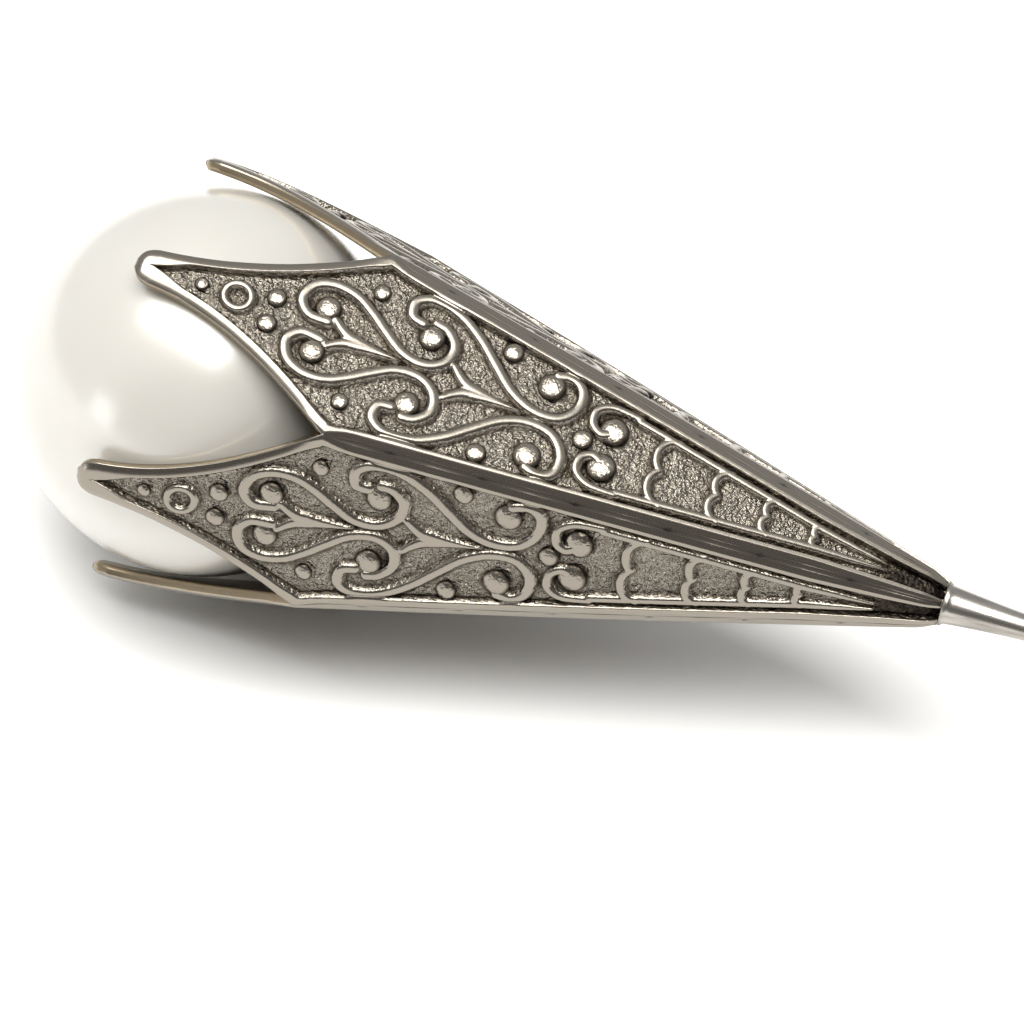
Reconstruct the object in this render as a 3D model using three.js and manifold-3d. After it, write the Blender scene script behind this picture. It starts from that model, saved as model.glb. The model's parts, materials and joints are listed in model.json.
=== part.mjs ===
// A pearl-headed hat pin, lying on a table: an imitation pearl held in a hollow calyx of six long
// kite-shaped petals, on a steel shank whose point is covered by a pull-off guard.
//
// Millimetres, +Z up. The pin is first built along local X: x = 0 is the blunt end of the calyx,
// +X runs to the point, and u = -x is the distance behind the blunt end, towards the pearl.
// At the end of the file the pin is rolled and tilted until it rests on the table at z = 0.

import * as THREE from 'three';
import { mergeVertices } from 'three/addons/utils/BufferGeometryUtils.js';
import Module from 'manifold-3d';

const wasm = await Module();
wasm.setup();

// ---- driving dimensions ----------------------------------------------------------------------

const PIN_LENGTH = 200;         // pearl's far side to the point
const PEARL_D = 16;
const PEARL_SETBACK = 6.8;      // valley between two petals to the pearl's widest circle
const PETALS = 6;

const CONE_LENGTH = 24.6;       // blunt end to the valleys, where the petals part
const PETAL_LENGTH = 9.25;      // valley to petal tip, along the pin
const BLUNT_APOTHEM = 1.02;     // centre line to the middle of a petal at the blunt end
const CONE_BULGE = 0.1;         // how far the ridges swell from a straight line, half way up
const WALL = 0.55;              // petal thickness with its rim
const RIM_HEIGHT = 0.2;         // rim above the petal's ground
const RIM_WIDTH = 0.5;
const TIP_HALF_WIDTH = 0.74;
const OUTLINE_POWER = 1.86;     // how hollow the free edges of a petal are
const TIP_FLAT = 0.22;          // half width of the small flat that ends a petal
const RIM_MAX_SHARE = 0.7;      // most of a half width that the rim may take, where a petal is narrow
const GROUND_MAX_SHARE = 0.45;  // most of the wall that the ground may be sunk

const SHANK_D = 1.0;
const NECK_D = 1.64;            // swollen neck under the calyx
const NECK_LENGTH = 4.4;
const NECK_POWER = 1.6;         // how hollow the neck's taper is
const POINT_LENGTH = 14;        // ground taper
const POINT_TIP_D = 0.12;
const POINT_POWER = 1.5;        // how full the ground taper is
const PEG_DEPTH = 7;            // how far the shank reaches into the pearl
const HOLE_SPARE = 1;           // how much deeper the pearl's hole is than the peg

const BUSH_START = 3;           // hexagonal core that the petal roots are soldered to
const BUSH_LENGTH = 5;

const CUP_D = 6.4;              // dished seat under the pearl
const CUP_WALL = 0.5;

const GUARD_D = 3.6;
const GUARD_WALL = 0.35;
const GUARD_LENGTH = 14;
const GUARD_END = 0.8;          // thickness of the closed end
const GUARD_CHAMFER = 0.3;
const LINER_LENGTH = 9;
const RING_D = 4.4;
const RING_LENGTH = 1.8;
const RING_PLATE = 0.5;
const GUARD_OVER_POINT = 1.2;   // room between the point and the inside of the closed end

// ---- clearances ------------------------------------------------------------------------------

const SEAM_GAP = 0.12;          // between neighbouring petals
const PEARL_GAP = 0.108;        // pearl to the petals, square to the pearl
const SEAT_GAP = 0.15;          // pearl to its cup
const BORE_GAP = 0.1;           // shank to whatever it passes through, all round
const RUN_GAP = 0.08;           // shank to the sleeve that slides on it, all round
const FIT_GAP = 0.12;           // other neighbours

// ---- sizes that follow -----------------------------------------------------------------------

const PEARL_R = PEARL_D / 2;
const SHANK_R = SHANK_D / 2;
const NECK_R = NECK_D / 2;
const HALF_PETAL = Math.PI / PETALS;
const TIP_U = CONE_LENGTH + PETAL_LENGTH;
const PEARL_U = CONE_LENGTH + PEARL_SETBACK;
const POINT_X = PIN_LENGTH - PEARL_U - PEARL_R;

// The free part of a petal starts in line with the cone and straightens to run along the pin. Its
// inside has to clear the pearl wherever it comes nearest, which fixes the width of the calyx at
// the valleys. Widening the mouth widens that distance by nearly as much, so a few corrections
// settle it.
const BULGE_HEIGHT = CONE_BULGE * Math.cos(HALF_PETAL);
const MOUTH_CORRECTIONS = 12;
const NEAREST_SAMPLES = 400;
const MOUTH_APOTHEM = mouthApothem();

/** Centre line to the middle of a petal's outer side at distance u, for a given mouth. */
function apothemFor(mouth, u) {
  const t = Math.min(u / CONE_LENGTH, 1);
  const d = Math.max(u - CONE_LENGTH, 0);
  const cone = BLUNT_APOTHEM + (mouth - BLUNT_APOTHEM) * t + 4 * BULGE_HEIGHT * t * (1 - t);
  const slope = (mouth - BLUNT_APOTHEM - 4 * BULGE_HEIGHT) / CONE_LENGTH;
  return cone + slope * (d - d ** 3 / (3 * PETAL_LENGTH ** 2));
}

/** The pearl's centre to the nearest spot on the inside of a petal. */
function pearlToPetal(mouth) {
  let nearest = Infinity;
  for (let k = 0; k <= NEAREST_SAMPLES; k++) {
    const u = TIP_U * k / NEAREST_SAMPLES;
    nearest = Math.min(nearest, Math.hypot(u - PEARL_U, apothemFor(mouth, u) - WALL));
  }
  return nearest;
}

function mouthApothem() {
  let mouth = PEARL_R;
  for (let k = 0; k < MOUTH_CORRECTIONS; k++) {
    mouth += PEARL_R + PEARL_GAP - pearlToPetal(mouth);
  }
  return mouth;
}

// ---- materials -------------------------------------------------------------------------------

const antiqueSilver = () => new THREE.MeshStandardMaterial({
  color: 0xa8a29a, roughness: 0.35, metalness: 1 });
const pearlCoat = () => new THREE.MeshStandardMaterial({
  color: 0xf0efe6, roughness: 0.2, metalness: 0 });
const plainSteel = () => new THREE.MeshStandardMaterial({
  color: 0xb9b6b0, roughness: 0.25, metalness: 1 });
const nylon = () => new THREE.MeshStandardMaterial({
  color: 0xe6e2d8, roughness: 0.5, metalness: 0 });

// ---- helpers ---------------------------------------------------------------------------------

const pin = new THREE.Group();

function addMesh(name, geometry, material) {
  const mesh = new THREE.Mesh(geometry, material);
  mesh.name = name;
  pin.add(mesh);
  return mesh;
}

/** A solid turned about the pin's centre line from a profile of [x, radius] points. */
function turned(profile, sides) {
  const points = profile.map(([x, r]) => new THREE.Vector2(r, x));
  const geometry = new THREE.LatheGeometry(points, sides);
  geometry.rotateZ(-Math.PI / 2);
  return geometry;
}

/** Points [x, radius] on a circle about (centreX, 0), from one polar angle to another. */
function arc(centreX, radius, from, to, steps) {
  const points = [];
  for (let i = 0; i <= steps; i += 1) {
    const angle = from + ((to - from) * i) / steps;
    points.push([centreX + radius * Math.cos(angle), radius * Math.sin(angle)]);
  }
  return points;
}

function toManifold(geometry) {
  const bare = geometry.clone();
  bare.deleteAttribute('normal');
  bare.deleteAttribute('uv');
  const merged = mergeVertices(bare, 1e-5);
  return new wasm.Manifold(new wasm.Mesh({
    numProp: 3,
    vertProperties: new Float32Array(merged.attributes.position.array),
    triVerts: new Uint32Array(merged.index.array),
  }));
}

function fromManifold(solid) {
  const mesh = solid.getMesh();
  const geometry = new THREE.BufferGeometry();
  geometry.setAttribute('position', new THREE.BufferAttribute(mesh.vertProperties, 3));
  geometry.setIndex(new THREE.BufferAttribute(mesh.triVerts, 1));
  geometry.computeVertexNormals();
  return geometry;
}

/** A closed solid through a row of outlines [[x, y, z], ...], all with the same number of points. */
function lofted(sections) {
  const count = sections[0].length;
  const positions = sections.flat(2);
  const index = [];
  for (let s = 0; s + 1 < sections.length; s += 1) {
    for (let i = 0; i < count; i += 1) {
      const j = (i + 1) % count;
      const a = s * count;
      const b = a + count;
      index.push(a + i, b + i, b + j, a + i, b + j, a + j);
    }
  }
  const outline = (section) => section.map(([, y, z]) => new THREE.Vector2(y, z));
  const last = (sections.length - 1) * count;
  for (const [i, j, k] of THREE.ShapeUtils.triangulateShape(outline(sections[0]), [])) {
    index.push(i, j, k);
  }
  for (const [i, j, k] of THREE.ShapeUtils.triangulateShape(outline(sections.at(-1)), [])) {
    index.push(last + i, last + k, last + j);
  }
  const geometry = new THREE.BufferGeometry();
  geometry.setAttribute('position', new THREE.Float32BufferAttribute(positions, 3));
  geometry.setIndex(index);
  geometry.computeVertexNormals();
  return geometry;
}

// ---- petals ----------------------------------------------------------------------------------

/** Centre line to the middle of a petal's outer side, at distance u behind the blunt end. */
function petalApothem(u) {
  return apothemFor(MOUTH_APOTHEM, u);
}

/** Centre line to a petal's inner side. At the blunt end the wall thins to let the shank by. */
function petalInside(u) {
  return Math.max(petalApothem(u) - WALL, SHANK_R + BORE_GAP);
}

/** Half width of a petal's outer side. */
function petalHalfWidth(u) {
  if (u <= CONE_LENGTH) {
    return petalApothem(u) * Math.tan(HALF_PETAL) - SEAM_GAP / 2;
  }
  const mouth = MOUTH_APOTHEM * Math.tan(HALF_PETAL) - SEAM_GAP / 2;
  const s = (u - CONE_LENGTH) / PETAL_LENGTH;
  const outline = TIP_HALF_WIDTH + (mouth - TIP_HALF_WIDTH) * (1 - s) ** OUTLINE_POWER;
  const toEnd = Math.max(TIP_U - u, 0);
  if (toEnd >= TIP_HALF_WIDTH) {
    return outline;
  }
  const round = Math.sqrt(TIP_HALF_WIDTH ** 2 - (TIP_HALF_WIDTH - toEnd) ** 2);
  return Math.max(Math.min(outline, round), TIP_FLAT);
}

/** One cross-section: rim, ground and rim on the outside, a plain inside. */
function petalSection(u) {
  const outside = petalApothem(u);
  const inside = petalInside(u);
  const half = petalHalfWidth(u);
  const mitre = u <= CONE_LENGTH ? Math.tan(HALF_PETAL) : 0;
  const halfInside = half - (outside - inside) * mitre;
  const rim = half - Math.min(RIM_WIDTH, half * RIM_MAX_SHARE);
  const ground = outside - Math.min(RIM_HEIGHT, (outside - inside) * GROUND_MAX_SHARE);
  const outline = [
    [-half, outside], [-halfInside, inside], [halfInside, inside], [half, outside],
    [rim, outside], [rim, ground], [-rim, ground], [-rim, outside],
  ];
  return outline.map(([y, z]) => [-u, y, z]);
}

/** Where the cross-sections go: even steps up the cone and the free part, closer at the round tip. */
function petalStations() {
  const stations = [];
  const coneSteps = 8;
  const freeSteps = 9;
  const tipSteps = 4;
  for (let i = 0; i <= coneSteps; i += 1) {
    stations.push((CONE_LENGTH * i) / coneSteps);
  }
  const freeEnd = PETAL_LENGTH - TIP_HALF_WIDTH;
  for (let i = 1; i <= freeSteps; i += 1) {
    stations.push(CONE_LENGTH + (freeEnd * i) / freeSteps);
  }
  for (let i = 1; i <= tipSteps; i += 1) {
    const angle = (Math.PI / 2) * (i / tipSteps);
    stations.push(TIP_U - TIP_HALF_WIDTH * (1 - Math.sin(angle)));
  }
  return stations;
}

function makePetal() {
  return lofted(petalStations().map(petalSection));
}

// ---- inside the calyx ------------------------------------------------------------------------

/** Six-sided core that fits the inside of the cone, bored for the shank. */
function makeBush() {
  const end = BUSH_START + BUSH_LENGTH;
  const cornerRadius = (u) => (petalInside(u) - FIT_GAP) / Math.cos(HALF_PETAL);
  const core = new THREE.CylinderGeometry(
    cornerRadius(BUSH_START), cornerRadius(end), BUSH_LENGTH, PETALS, 1, false, HALF_PETAL);
  core.rotateZ(-Math.PI / 2);
  core.translate(-(BUSH_START + end) / 2, 0, 0);
  const boreR = SHANK_R + BORE_GAP;
  const bore = new THREE.CylinderGeometry(boreR, boreR, BUSH_LENGTH + 2, 16);
  bore.rotateZ(-Math.PI / 2);
  bore.translate(-(BUSH_START + end) / 2, 0, 0);
  return fromManifold(toManifold(core).subtract(toManifold(bore)));
}

/** Dished washer that carries the pearl: two arcs about the pearl's centre. */
function makeCup() {
  const inner = PEARL_R + SEAT_GAP;
  const outer = inner + CUP_WALL;
  const boreR = SHANK_R + BORE_GAP;
  const edge = CUP_D / 2;
  const steps = 5;
  const profile = [
    ...arc(-PEARL_U, outer, Math.asin(edge / outer), Math.asin(boreR / outer), steps),
    ...arc(-PEARL_U, inner, Math.asin(boreR / inner), Math.asin(edge / inner), steps),
  ];
  profile.push(profile[0]);
  return turned(profile, 24);
}

/** Half-drilled ball. The blind hole takes the end of the shank. */
function makePearl() {
  const holeR = SHANK_R + BORE_GAP;
  const holeEnd = -PEARL_U + PEARL_R - PEG_DEPTH - HOLE_SPARE;
  const mouth = Math.asin(holeR / PEARL_R);
  const profile = [
    ...arc(-PEARL_U, PEARL_R, Math.PI, mouth, 22),
    [holeEnd, holeR],
    [holeEnd, 0],
  ];
  profile[0][1] = 0;
  return turned(profile, 36);
}

// ---- shank -----------------------------------------------------------------------------------

function makeShank() {
  const shoulder = FIT_GAP;
  const pegEnd = -PEARL_U + PEARL_R - PEG_DEPTH;
  const profile = [[pegEnd, 0], [pegEnd, SHANK_R], [shoulder, SHANK_R]];
  const neckSteps = 6;
  for (let i = 0; i <= neckSteps; i += 1) {
    const t = i / neckSteps;
    profile.push([shoulder + NECK_LENGTH * t, SHANK_R + (NECK_R - SHANK_R) * (1 - t) ** NECK_POWER]);
  }
  profile.push([POINT_X - POINT_LENGTH, SHANK_R]);
  const pointSteps = 4;
  for (let i = 1; i <= pointSteps; i += 1) {
    const t = i / pointSteps;
    const r = POINT_TIP_D / 2 + (SHANK_R - POINT_TIP_D / 2) * (1 - t ** POINT_POWER);
    profile.push([POINT_X - POINT_LENGTH * (1 - t), r]);
  }
  profile.push([POINT_X, 0]);
  return turned(profile, 16);
}

// ---- point guard -----------------------------------------------------------------------------

const GUARD_R = GUARD_D / 2;
const GUARD_TIP_X = POINT_X + GUARD_OVER_POINT + GUARD_END;
const GUARD_MOUTH_X = GUARD_TIP_X - GUARD_LENGTH;

function makeGuardBarrel() {
  const inside = GUARD_R - GUARD_WALL;
  const profile = [
    [GUARD_MOUTH_X, inside],
    [GUARD_MOUTH_X, GUARD_R],
    [GUARD_TIP_X - GUARD_CHAMFER, GUARD_R],
    [GUARD_TIP_X, GUARD_R - GUARD_CHAMFER],
    [GUARD_TIP_X, 0],
  ];
  return turned([[GUARD_TIP_X - GUARD_END, 0], [GUARD_TIP_X - GUARD_END, inside], ...profile], 20);
}

/** Nylon sleeve whose bore grips the shank. */
function makeGuardLiner() {
  const outside = GUARD_R - GUARD_WALL - BORE_GAP;
  const bore = SHANK_R + RUN_GAP;
  const start = GUARD_MOUTH_X + FIT_GAP;
  return turned([
    [start, bore],
    [start, outside],
    [start + LINER_LENGTH, outside],
    [start + LINER_LENGTH, bore],
    [start, bore],
  ], 20);
}

/** Ring crimped over the mouth of the barrel. It keeps the liner in. */
function makeGuardRing() {
  const face = GUARD_MOUTH_X - BORE_GAP - RING_PLATE;
  const skirt = GUARD_R + BORE_GAP;
  const bore = SHANK_R + 2 * FIT_GAP;
  return turned([
    [face, bore],
    [face, RING_D / 2],
    [face + RING_LENGTH, RING_D / 2],
    [face + RING_LENGTH, skirt],
    [GUARD_MOUTH_X - BORE_GAP, skirt],
    [GUARD_MOUTH_X - BORE_GAP, bore],
    [face, bore],
  ], 20);
}

// ---- assembly along the pin ------------------------------------------------------------------

const head = [];
for (let k = 0; k < PETALS; k += 1) {
  const petal = addMesh(`petal_${k + 1}`, makePetal(), antiqueSilver());
  petal.rotation.x = Math.PI - 2 * HALF_PETAL * k;
  head.push(petal);
}
head.push(addMesh('pearl', makePearl(), pearlCoat()));
addMesh('pearl_cup', makeCup(), plainSteel());
addMesh('calyx_bush', makeBush(), plainSteel());
addMesh('shank', makeShank(), plainSteel());
const guard = [
  addMesh('guard_barrel', makeGuardBarrel(), antiqueSilver()),
  addMesh('guard_ring', makeGuardRing(), antiqueSilver()),
];
addMesh('guard_liner', makeGuardLiner(), nylon());

// ---- resting on the table --------------------------------------------------------------------

/** All the corners of some meshes, as [x, y, z] along the unturned pin. */
function corners(meshes) {
  const points = [];
  for (const mesh of meshes) {
    mesh.updateMatrix();
    const at = mesh.geometry.attributes.position;
    for (let i = 0; i < at.count; i += 1) {
      points.push(new THREE.Vector3().fromBufferAttribute(at, i).applyMatrix4(mesh.matrix));
    }
  }
  return points;
}

/** Height of the lowest corner once the pin is rolled about itself and its pearl end is raised. */
function lowest(points, roll, tilt) {
  let low = Infinity;
  for (const p of points) {
    const z = p.z * Math.cos(roll) + p.y * Math.sin(roll);
    low = Math.min(low, z * Math.cos(tilt) - p.x * Math.sin(tilt));
  }
  return low;
}

/** The tilt at which the calyx and the guard touch the table together. */
function restingTilt(headPoints, guardPoints, roll) {
  let flat = 0;
  let steep = Math.PI / 12;
  for (let i = 0; i < 40; i += 1) {
    const tilt = (flat + steep) / 2;
    if (lowest(headPoints, roll, tilt) < lowest(guardPoints, roll, tilt)) {
      flat = tilt;
    } else {
      steep = tilt;
    }
  }
  return (flat + steep) / 2;
}

/** The roll at which the head lies lowest: on a petal tip and the valley corner beside it. */
function restingRoll(headPoints, guardPoints) {
  let low = 0;
  let high = HALF_PETAL;
  for (let i = 0; i < 40; i += 1) {
    const third = (high - low) / 3;
    const a = restingTilt(headPoints, guardPoints, low + third);
    const b = restingTilt(headPoints, guardPoints, high - third);
    if (a < b) {
      high -= third;
    } else {
      low += third;
    }
  }
  return (low + high) / 2;
}

const headCorners = corners(head);
const guardCorners = corners(guard);
const roll = restingRoll(headCorners, guardCorners);
const tilt = restingTilt(headCorners, guardCorners, roll);

const rolled = new THREE.Group();
rolled.rotation.x = roll;
rolled.add(pin);
const tilted = new THREE.Group();
tilted.rotation.y = tilt;
tilted.add(rolled);

// The origin is under the middle of the pin, on the table.
const hatPin = new THREE.Group();
hatPin.add(tilted);
hatPin.updateMatrixWorld(true);
const bounds = new THREE.Box3().setFromObject(hatPin, true);
const middle = bounds.getCenter(new THREE.Vector3());
tilted.position.set(-middle.x, -middle.y, -bounds.min.z);

export default hatPin;
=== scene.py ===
# %% [markdown]
# # A pearl-headed hat pin
# A large imitation pearl sits in a long hollow calyx of six pressed petals. The petals are silver
# plated, darkened, and rubbed back so that the raised scrolls shine. A steel wire with a ground
# point runs out of the blunt end, and a small tube slides over the point to guard it.
#
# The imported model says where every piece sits. This script repeats the few sizes that its fine
# shapes need, and adds those shapes and the finishes.

# %% Load the frame
import json
import math
import bmesh
import bpy
import numpy as np
from mathutils import Matrix, Vector


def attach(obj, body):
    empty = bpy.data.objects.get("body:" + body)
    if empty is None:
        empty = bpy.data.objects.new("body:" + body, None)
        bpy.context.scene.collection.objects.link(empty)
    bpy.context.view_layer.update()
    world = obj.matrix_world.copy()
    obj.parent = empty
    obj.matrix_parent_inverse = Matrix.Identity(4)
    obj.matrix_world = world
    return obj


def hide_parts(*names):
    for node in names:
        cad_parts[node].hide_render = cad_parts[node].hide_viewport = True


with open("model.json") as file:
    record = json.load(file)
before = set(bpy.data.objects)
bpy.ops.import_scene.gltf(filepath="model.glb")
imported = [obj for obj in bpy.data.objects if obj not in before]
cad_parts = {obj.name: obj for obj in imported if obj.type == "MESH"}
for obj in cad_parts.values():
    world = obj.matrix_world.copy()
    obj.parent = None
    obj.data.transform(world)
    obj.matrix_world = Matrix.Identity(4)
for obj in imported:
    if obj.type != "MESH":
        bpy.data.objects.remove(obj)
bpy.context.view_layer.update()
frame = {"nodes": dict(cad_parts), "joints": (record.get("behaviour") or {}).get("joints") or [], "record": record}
MM = 0.001

# %% [markdown]
# ## The pin's own axes
# The pin lies tilted on the table, so its pieces are easiest to draw along its own centre line.
# The guard's slide gives the direction of that line and the guard's end face gives a point on it.
# From there, `u` is the distance in millimetres behind the calyx's blunt end, towards the pearl.

# %% Find the centre line and the blunt end
AXIS = Vector(frame["joints"][0]["axis"]).normalized()
MOUNTS = {mount["name"]: mount for mount in frame["record"]["mounts"]}
ON_AXIS = Vector(MOUNTS["guard_end"]["pos_m"])
PETALS = [f"petal_{k + 1}" for k in range(6)]


def node_points(name):
    """A CAD node's corners, as rows of x, y and z in metres."""
    return np.array([vertex.co for vertex in frame["nodes"][name].data.vertices])


def along_axis(points):
    """How far each point lies along the pin from the guard's end, in millimetres."""
    return (points - np.array(ON_AXIS)) @ np.array(AXIS) / MM


BLUNT = ON_AXIS + AXIS * max(along_axis(node_points(name)).max() for name in PETALS) * MM


def petal_facing(name):
    """The direction square to the pin in which a petal faces."""
    middle = Vector(node_points(name).mean(axis=0)) - BLUNT
    return (middle - AXIS * middle.dot(AXIS)).normalized()


FACING = {name: petal_facing(name) for name in PETALS}
print("blunt end at", [round(c / MM, 2) for c in BLUNT], "mm")

# %% [markdown]
# ## The petal's plan
# A petal is a long kite: it widens in a straight cone from the blunt end to the valleys, where it
# parts from its neighbours, and then narrows in hollow curves to a small round tip. The outline
# could be drawn by hand as a curve. Formulas are used instead, because the relief, the seams and
# the wall thickness all have to follow it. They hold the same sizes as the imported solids, and the
# last cell of this step prints how closely the two agree.

# %% Sizes of a petal, in millimetres
CONE_LENGTH = 24.6
PETAL_LENGTH = 9.25
BLUNT_APOTHEM = 1.02
CONE_BULGE = 0.1
WALL = 0.55
TIP_HALF_WIDTH = 0.74
TIP_FLAT = 0.22
OUTLINE_POWER = 1.86
SHANK_R = 0.5
BORE_GAP = 0.1
PEARL_R = 8.0
PEARL_SETBACK = 6.8
PEARL_CLEAR = 0.18  # pearl to a petal's inside, across the pin at the pearl's widest circle
SEAM = 0.008  # the hairline between neighbouring petals
HALF_PETAL = math.pi / 6
TIP_U = CONE_LENGTH + PETAL_LENGTH
print("calyx", TIP_U, "mm long")

# %% Width of the calyx where the petals part
# A free petal carries on in line with the cone and straightens as it goes, and at the pearl's
# widest circle its inside has to clear the pearl. Solving that for the mouth gives its width.
bend_reach = PEARL_SETBACK - PEARL_SETBACK**3 / (3 * PETAL_LENGTH**2)
bulge_slope = 4 * CONE_BULGE * math.cos(HALF_PETAL) / CONE_LENGTH
reach_share = bend_reach / CONE_LENGTH
pearl_apothem = PEARL_R + PEARL_CLEAR + WALL
MOUTH = (pearl_apothem + BLUNT_APOTHEM * reach_share + bulge_slope * bend_reach) / (1 + reach_share)
MOUTH_SLOPE = (MOUTH - BLUNT_APOTHEM) / CONE_LENGTH - bulge_slope
print("mouth apothem", round(MOUTH, 3), "mm")


# %% Outline of a petal
def apothem(u):
    """Centre line to the middle of a petal's rim height, for an array of u."""
    t = np.clip(u / CONE_LENGTH, 0, 1)
    bulge = 4 * CONE_BULGE * math.cos(HALF_PETAL) * t * (1 - t)
    cone = BLUNT_APOTHEM + (MOUTH - BLUNT_APOTHEM) * t + bulge
    d = np.maximum(u - CONE_LENGTH, 0)
    return cone + MOUTH_SLOPE * (d - d**3 / (3 * PETAL_LENGTH**2))


def half_width(u):
    """Half the width of a petal, for an array of u."""
    cone = apothem(u) * math.tan(HALF_PETAL) - SEAM / 2
    mouth = MOUTH * math.tan(HALF_PETAL) - SEAM / 2
    s = np.clip((u - CONE_LENGTH) / PETAL_LENGTH, 0, 1)
    free = TIP_HALF_WIDTH + (mouth - TIP_HALF_WIDTH) * (1 - s) ** OUTLINE_POWER
    to_end = np.clip(TIP_U - u, 0, TIP_HALF_WIDTH)
    tip = np.sqrt(TIP_HALF_WIDTH**2 - (TIP_HALF_WIDTH - to_end) ** 2)
    free = np.where(TIP_U - u < TIP_HALF_WIDTH, np.maximum(np.minimum(free, tip), TIP_FLAT), free)
    return np.where(u <= CONE_LENGTH, cone, free)


NEAR_TIP = 0.01
petal = node_points("petal_4")
petal_u = -along_axis(petal) + (BLUNT - ON_AXIS).dot(AXIS) / MM
petal_out = (petal - np.array(BLUNT)) @ np.array(FACING["petal_4"]) / MM
at_tip = petal_u > TIP_U - NEAR_TIP
tip_error = petal_out[at_tip].max() - apothem(np.array([TIP_U]))[0]
print("solid and plan differ at the tip by", round(tip_error, 4), "mm")

# %% [markdown]
# ## The relief, as strokes
# A pressed ornament like this could be sculpted, but every petal carries the same one, and it is
# the same on both sides of the petal's middle. So it is drawn once, as a few strokes over half a
# petal, each a smooth curve through given points. The distance from any spot to the nearest
# stroke then gives the height there, which keeps the lines even in width and round on top.

# %% Points of the strokes of half a petal, as u and v in millimetres
SCROLL_LARGE = [(26.0, 0.42), (26.8, 0.42), (27.25, 0.98), (26.95, 1.72), (26.2, 2.05), (25.3, 1.95),
                (24.5, 1.5), (23.8, 0.98), (22.9, 0.4), (21.95, 0.3), (21.25, 0.75), (21.1, 1.5),
                (21.55, 2.05), (22.05, 2.18)]
SCROLL_LONG = [(22.55, 1.95), (23.05, 2.1), (23.1, 2.72), (22.45, 3.1), (21.4, 2.95), (20.3, 2.3),
               (19.35, 1.45), (18.45, 0.68), (17.45, 0.28), (16.45, 0.38), (15.85, 1.05), (15.85, 1.85),
               (16.35, 2.25), (16.95, 2.12)]
LEAVES = [[(25.75, 0.62), (25.4, 0.34), (25.0, 0.14), (24.4, 0.06), (23.7, 0.03), (22.9, 0.0)],
          [(20.85, 0.72), (20.5, 0.4), (20.1, 0.16), (19.5, 0.07), (18.8, 0.03), (17.9, 0.0)]]
C_SCROLL = [(14.35, 0.62), (14.7, 0.5), (15.1, 0.8), (15.1, 1.4), (14.5, 1.78), (13.4, 1.76)]
print("scrolls through", len(SCROLL_LARGE) + len(SCROLL_LONG) + len(C_SCROLL), "points")

# %% Widths and places of the strokes, in millimetres
FRAME_ENDS = (2.6, 13.4)
FRAME_GROOVE = 0.14
ARCHES = [12.0, 9.6, 7.5, 5.5]
ARCH_ROUND = 0.9
ARCH_CUSP = -0.8
ARCH_MIN_SPAN = 0.12
SCROLL_HALF = 0.275
LEAF_HALF = (0.2, 0.32, 0.06)
BORDER_HALF = 0.215
C_SCROLL_HALF = (0.26, 0.22, BORDER_HALF)
FRAME_HALF = (0.08, 0.17) + (BORDER_HALF,) * 8  # thin where the two lines meet, then even
print("scrolls", 2 * SCROLL_HALF, "mm wide, arches", 2 * BORDER_HALF, "mm wide")

# %% [markdown]
# ## The border
# Each petal is edged by a raised rim. Along the ridge, where two petals meet, the rim also has a
# bevel outside it, so that two neighbours make one flat band. The band could be a strip laid over
# the seam. Here it is part of each petal, as it is when petals are soldered edge to edge.

# %% Widths of the bevel and the rim
BEVEL_WIDTH = 0.42
CONE_RIM_WIDTH = 0.2
FREE_RIM_WIDTH = 0.42
TIP_RIM_WIDTH = 0.74
BEVEL_SHARE = 0.3  # most of a narrow petal's half width that the bevel takes
CONE_RIM_SHARE = 0.22
VALLEY_FADE = (1.2, 1.0)  # the bevel fades between these distances before and after the valley
TIP_RIM_SPAN = (2.4, 0.75)  # and the rim widens between these distances from the tip


def smooth_step(x, low, high):
    """0 below low, 1 above high, and an even blend between."""
    t = np.clip((x - low) / (high - low), 0, 1)
    return t * t * (3 - 2 * t)


def border_widths(u):
    """Widths of the bevel along the ridge and of the rim inside it, for an array of u."""
    half = half_width(u)
    on_cone = 1 - smooth_step(u, CONE_LENGTH - VALLEY_FADE[0], CONE_LENGTH + VALLEY_FADE[1])
    bevel = np.minimum(BEVEL_WIDTH, BEVEL_SHARE * half)
    rim = np.minimum(CONE_RIM_WIDTH, CONE_RIM_SHARE * half)
    near_tip = smooth_step(u, TIP_U - TIP_RIM_SPAN[0], TIP_U - TIP_RIM_SPAN[1])
    free_rim = FREE_RIM_WIDTH + (TIP_RIM_WIDTH - FREE_RIM_WIDTH) * near_tip
    return bevel * on_cone, rim * on_cone + free_rim * (1 - on_cone)


print("bevel and rim at the valley", [round(float(w[0]), 2) for w in border_widths(np.array([CONE_LENGTH]))])


# %% Turn points into strokes
STROKE_STEPS = 14
FRAME_SAMPLES = 160
ARCH_SAMPLES = 48


def smooth_stroke(points, steps=STROKE_STEPS):
    """A Catmull-Rom curve through the points, as an array of close samples."""
    p = np.array([points[0]] + list(points) + [points[-1]], float)
    out = []
    for i in range(1, len(p) - 2):
        a, b, c, d = p[i - 1:i + 3]
        for t in np.linspace(0, 1, steps, endpoint=False):
            out.append(0.5 * (2 * b + (c - a) * t + (2 * a - 5 * b + 4 * c - d) * t**2
                              + (3 * b - a - 3 * c + d) * t**3))
    return np.array(out + [p[-1]])


def even(line, half):
    """A stroke of one width: rows of u, v and half width."""
    return np.column_stack([line, np.full(len(line), half)])


def tapered(line, halves):
    """A stroke whose half width runs through the given values."""
    along = np.linspace(0, 1, len(line))
    return np.column_stack([line, np.interp(along, np.linspace(0, 1, len(halves)), halves)])


def frame_inset(u):
    """How far inside the outline the frame line runs."""
    bevel, rim = border_widths(u)
    return bevel + rim + FRAME_GROOVE + BORDER_HALF


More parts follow.
